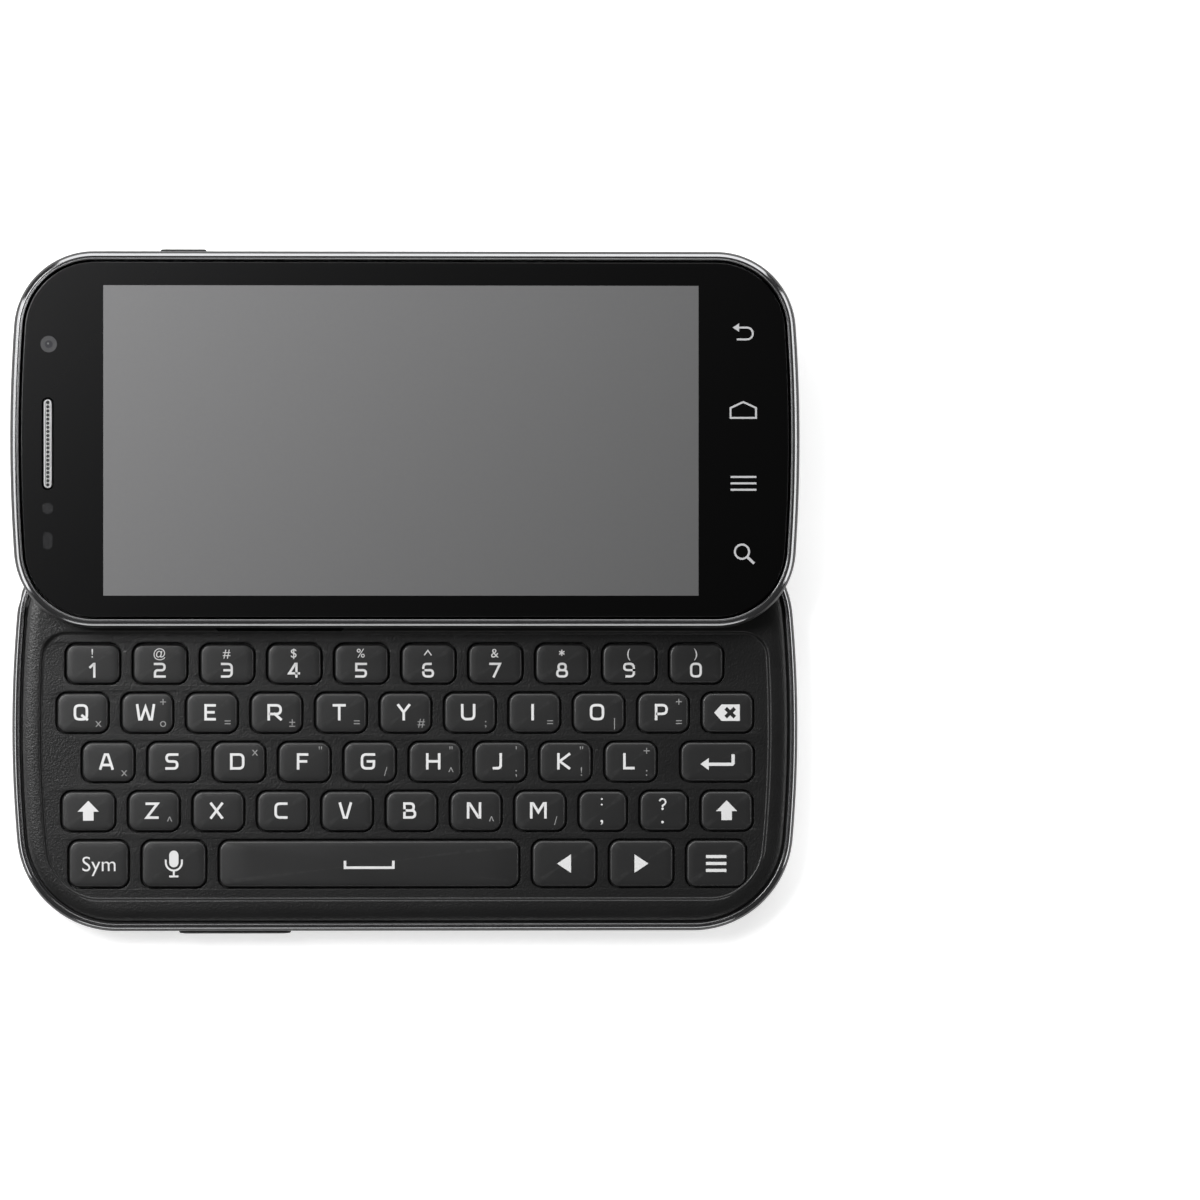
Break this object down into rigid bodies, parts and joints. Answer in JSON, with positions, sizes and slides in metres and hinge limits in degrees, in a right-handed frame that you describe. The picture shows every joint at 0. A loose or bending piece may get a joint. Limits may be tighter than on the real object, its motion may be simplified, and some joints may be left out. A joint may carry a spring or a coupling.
{
  "type": "slider phone",
  "caption": "Side-sliding phone: a touch-screen half slides along its long side over a half with a five-row keyboard; modelled slid open.",
  "frame": {"origin": "centre of the keyboard half's flat back face", "axes": "+X along the phone's long side, to the right when the keys are read; +Y the way the display half slides open; +Z out of the screen"},
  "size_m": [0.127, 0.1105, 0.0137],
  "materials": {
    "gloss_black": "dark grey-black gloss with a metallic tint",
    "deck_grey": "fine-grained matt black",
    "cover_weave": "satin with a fine moulded diagonal weave",
    "keycap": "satin black with white legends",
    "mat_rubber": "matt silicone rubber",
    "circuit_board": "green solder mask",
    "socket_metal": "tin-plated cans on a green board",
    "battery_case": "dark wrapped cell",
    "ring_chrome": "polished",
    "camera_glass": "black-backed window, clear flash lens",
    "slide_steel": "pressed spring steel",
    "rear_plastic": "fine-grained matt black",
    "screen_glass": "black-backed polished glass",
    "lcd": "dark screen",
    "earpiece_metal": "satin perforated metal"
  },
  "bodies": {
    "keyboard_half": {"base_frame": "gloss_black", "keyboard_deck": "deck_grey", "back_cover": "cover_weave", "key_mat": "mat_rubber", "keypad_board": "circuit_board", "main_board": "socket_metal", "battery": "battery_case", "camera_ring": "ring_chrome", "rear_camera": "camera_glass", "base_screws": "slide_steel", "slide_carriage": "slide_steel"},
    "display_half": {"display_bezel": "gloss_black", "display_rear_cover": "rear_plastic", "screen_glass": "screen_glass", "lcd_panel": "lcd", "earpiece": "earpiece_metal", "slide_rails": "slide_steel"},
    "power_button": {"power_button": "gloss_black"},
    "volume_rocker": {"volume_rocker": "gloss_black"},
    "slide_spring_left": {"slide_spring_left": "slide_steel"},
    "slide_spring_right": {"slide_spring_right": "slide_steel"},
    "number_keys": {"number_keys": "keycap"},
    "key_q": {"key_q": "keycap"},
    "key_w": {"key_w": "keycap"},
    "key_e": {"key_e": "keycap"},
    "key_r": {"key_r": "keycap"},
    "key_t": {"key_t": "keycap"},
    "key_y": {"key_y": "keycap"},
    "key_u": {"key_u": "keycap"},
    "key_i": {"key_i": "keycap"},
    "key_o": {"key_o": "keycap"},
    "key_p": {"key_p": "keycap"},
    "key_backspace": {"key_backspace": "keycap"},
    "key_a": {"key_a": "keycap"},
    "key_s": {"key_s": "keycap"},
    "key_d": {"key_d": "keycap"},
    "key_f": {"key_f": "keycap"},
    "key_g": {"key_g": "keycap"},
    "key_h": {"key_h": "keycap"},
    "key_j": {"key_j": "keycap"},
    "key_k": {"key_k": "keycap"},
    "key_l": {"key_l": "keycap"},
    "key_enter": {"key_enter": "keycap"},
    "key_shift_left": {"key_shift_left": "keycap"},
    "key_z": {"key_z": "keycap"},
    "key_x": {"key_x": "keycap"},
    "key_c": {"key_c": "keycap"},
    "key_v": {"key_v": "keycap"},
    "key_b": {"key_b": "keycap"},
    "key_n": {"key_n": "keycap"},
    "key_m": {"key_m": "keycap"},
    "key_semicolon": {"key_semicolon": "keycap"},
    "key_question": {"key_question": "keycap"},
    "key_shift_right": {"key_shift_right": "keycap"},
    "key_sym": {"key_sym": "keycap"},
    "key_mic": {"key_mic": "keycap"},
    "key_space": {"key_space": "keycap"},
    "key_left": {"key_left": "keycap"},
    "key_right": {"key_right": "keycap"},
    "key_menu": {"key_menu": "keycap"}
  },
  "joints": [
    {"name": "display_slide", "type": "slide", "parent": "keyboard_half", "child": "display_half", "axis": [0, 1, 0], "range_m": [-0.0437, 0]},
    {"name": "power_press", "type": "slide", "parent": "display_half", "child": "power_button", "axis": [0, -1, 0], "range_m": [0, 0.0003], "stiffness_N_per_m": 2000},
    {"name": "volume_rock", "type": "hinge", "parent": "keyboard_half", "child": "volume_rocker", "pos_m": [-0.02755, -0.0305, 0.0047], "axis": [0, 0, 1], "range_deg": [-1.2, 1.2], "stiffness_Nm_per_rad": 0.8},
    {"name": "spring_left_swing", "type": "hinge", "parent": "display_half", "child": "slide_spring_left", "pos_m": [-0.0345, 0.04635, 0.0099], "axis": [0, 0, 1], "range_deg": [0, 89.65]},
    {"name": "spring_right_swing", "type": "hinge", "parent": "display_half", "child": "slide_spring_right", "pos_m": [0.0345, 0.04635, 0.0099], "axis": [0, 0, 1], "range_deg": [-89.65, 0]},
    {"name": "numbers_press", "type": "slide", "parent": "keyboard_half", "child": "number_keys", "axis": [0, 0, -1], "range_m": [0, 0.00035], "stiffness_N_per_m": 800},
    {"name": "key_q_press", "type": "slide", "parent": "keyboard_half", "child": "key_q", "axis": [0, 0, -1], "range_m": [0, 0.00035], "stiffness_N_per_m": 800},
    {"name": "key_w_press", "type": "slide", "parent": "keyboard_half", "child": "key_w", "axis": [0, 0, -1], "range_m": [0, 0.00035], "stiffness_N_per_m": 800},
    {"name": "key_e_press", "type": "slide", "parent": "keyboard_half", "child": "key_e", "axis": [0, 0, -1], "range_m": [0, 0.00035], "stiffness_N_per_m": 800},
    {"name": "key_r_press", "type": "slide", "parent": "keyboard_half", "child": "key_r", "axis": [0, 0, -1], "range_m": [0, 0.00035], "stiffness_N_per_m": 800},
    {"name": "key_t_press", "type": "slide", "parent": "keyboard_half", "child": "key_t", "axis": [0, 0, -1], "range_m": [0, 0.00035], "stiffness_N_per_m": 800},
    {"name": "key_y_press", "type": "slide", "parent": "keyboard_half", "child": "key_y", "axis": [0, 0, -1], "range_m": [0, 0.00035], "stiffness_N_per_m": 800},
    {"name": "key_u_press", "type": "slide", "parent": "keyboard_half", "child": "key_u", "axis": [0, 0, -1], "range_m": [0, 0.00035], "stiffness_N_per_m": 800},
    {"name": "key_i_press", "type": "slide", "parent": "keyboard_half", "child": "key_i", "axis": [0, 0, -1], "range_m": [0, 0.00035], "stiffness_N_per_m": 800},
    {"name": "key_o_press", "type": "slide", "parent": "keyboard_half", "child": "key_o", "axis": [0, 0, -1], "range_m": [0, 0.00035], "stiffness_N_per_m": 800},
    {"name": "key_p_press", "type": "slide", "parent": "keyboard_half", "child": "key_p", "axis": [0, 0, -1], "range_m": [0, 0.00035], "stiffness_N_per_m": 800},
    {"name": "key_backspace_press", "type": "slide", "parent": "keyboard_half", "child": "key_backspace", "axis": [0, 0, -1], "range_m": [0, 0.00035], "stiffness_N_per_m": 800},
    {"name": "key_a_press", "type": "slide", "parent": "keyboard_half", "child": "key_a", "axis": [0, 0, -1], "range_m": [0, 0.00035], "stiffness_N_per_m": 800},
    {"name": "key_s_press", "type": "slide", "parent": "keyboard_half", "child": "key_s", "axis": [0, 0, -1], "range_m": [0, 0.00035], "stiffness_N_per_m": 800},
    {"name": "key_d_press", "type": "slide", "parent": "keyboard_half", "child": "key_d", "axis": [0, 0, -1], "range_m": [0, 0.00035], "stiffness_N_per_m": 800},
    {"name": "key_f_press", "type": "slide", "parent": "keyboard_half", "child": "key_f", "axis": [0, 0, -1], "range_m": [0, 0.00035], "stiffness_N_per_m": 800},
    {"name": "key_g_press", "type": "slide", "parent": "keyboard_half", "child": "key_g", "axis": [0, 0, -1], "range_m": [0, 0.00035], "stiffness_N_per_m": 800},
    {"name": "key_h_press", "type": "slide", "parent": "keyboard_half", "child": "key_h", "axis": [0, 0, -1], "range_m": [0, 0.00035], "stiffness_N_per_m": 800},
    {"name": "key_j_press", "type": "slide", "parent": "keyboard_half", "child": "key_j", "axis": [0, 0, -1], "range_m": [0, 0.00035], "stiffness_N_per_m": 800},
    {"name": "key_k_press", "type": "slide", "parent": "keyboard_half", "child": "key_k", "axis": [0, 0, -1], "range_m": [0, 0.00035], "stiffness_N_per_m": 800},
    {"name": "key_l_press", "type": "slide", "parent": "keyboard_half", "child": "key_l", "axis": [0, 0, -1], "range_m": [0, 0.00035], "stiffness_N_per_m": 800},
    {"name": "key_enter_press", "type": "slide", "parent": "keyboard_half", "child": "key_enter", "axis": [0, 0, -1], "range_m": [0, 0.00035], "stiffness_N_per_m": 800},
    {"name": "key_shift_left_press", "type": "slide", "parent": "keyboard_half", "child": "key_shift_left", "axis": [0, 0, -1], "range_m": [0, 0.00035], "stiffness_N_per_m": 800},
    {"name": "key_z_press", "type": "slide", "parent": "keyboard_half", "child": "key_z", "axis": [0, 0, -1], "range_m": [0, 0.00035], "stiffness_N_per_m": 800},
    {"name": "key_x_press", "type": "slide", "parent": "keyboard_half", "child": "key_x", "axis": [0, 0, -1], "range_m": [0, 0.00035], "stiffness_N_per_m": 800},
    {"name": "key_c_press", "type": "slide", "parent": "keyboard_half", "child": "key_c", "axis": [0, 0, -1], "range_m": [0, 0.00035], "stiffness_N_per_m": 800},
    {"name": "key_v_press", "type": "slide", "parent": "keyboard_half", "child": "key_v", "axis": [0, 0, -1], "range_m": [0, 0.00035], "stiffness_N_per_m": 800},
    {"name": "key_b_press", "type": "slide", "parent": "keyboard_half", "child": "key_b", "axis": [0, 0, -1], "range_m": [0, 0.00035], "stiffness_N_per_m": 800},
    {"name": "key_n_press", "type": "slide", "parent": "keyboard_half", "child": "key_n", "axis": [0, 0, -1], "range_m": [0, 0.00035], "stiffness_N_per_m": 800},
    {"name": "key_m_press", "type": "slide", "parent": "keyboard_half", "child": "key_m", "axis": [0, 0, -1], "range_m": [0, 0.00035], "stiffness_N_per_m": 800},
    {"name": "key_semicolon_press", "type": "slide", "parent": "keyboard_half", "child": "key_semicolon", "axis": [0, 0, -1], "range_m": [0, 0.00035], "stiffness_N_per_m": 800},
    {"name": "key_question_press", "type": "slide", "parent": "keyboard_half", "child": "key_question", "axis": [0, 0, -1], "range_m": [0, 0.00035], "stiffness_N_per_m": 800},
    {"name": "key_shift_right_press", "type": "slide", "parent": "keyboard_half", "child": "key_shift_right", "axis": [0, 0, -1], "range_m": [0, 0.00035], "stiffness_N_per_m": 800},
    {"name": "key_sym_press", "type": "slide", "parent": "keyboard_half", "child": "key_sym", "axis": [0, 0, -1], "range_m": [0, 0.00035], "stiffness_N_per_m": 800},
    {"name": "key_mic_press", "type": "slide", "parent": "keyboard_half", "child": "key_mic", "axis": [0, 0, -1], "range_m": [0, 0.00035], "stiffness_N_per_m": 800},
    {"name": "key_space_press", "type": "slide", "parent": "keyboard_half", "child": "key_space", "axis": [0, 0, -1], "range_m": [0, 0.00035], "stiffness_N_per_m": 800},
    {"name": "key_left_press", "type": "slide", "parent": "keyboard_half", "child": "key_left", "axis": [0, 0, -1], "range_m": [0, 0.00035], "stiffness_N_per_m": 800},
    {"name": "key_right_press", "type": "slide", "parent": "keyboard_half", "child": "key_right", "axis": [0, 0, -1], "range_m": [0, 0.00035], "stiffness_N_per_m": 800},
    {"name": "key_menu_press", "type": "slide", "parent": "keyboard_half", "child": "key_menu", "axis": [0, 0, -1], "range_m": [0, 0.00035], "stiffness_N_per_m": 800}
  ],
  "couplings": [
    {"joint": "spring_left_swing", "follows": "display_slide", "rad_per_m": -35.788},
    {"joint": "spring_right_swing", "follows": "display_slide", "rad_per_m": 35.788}
  ]
}
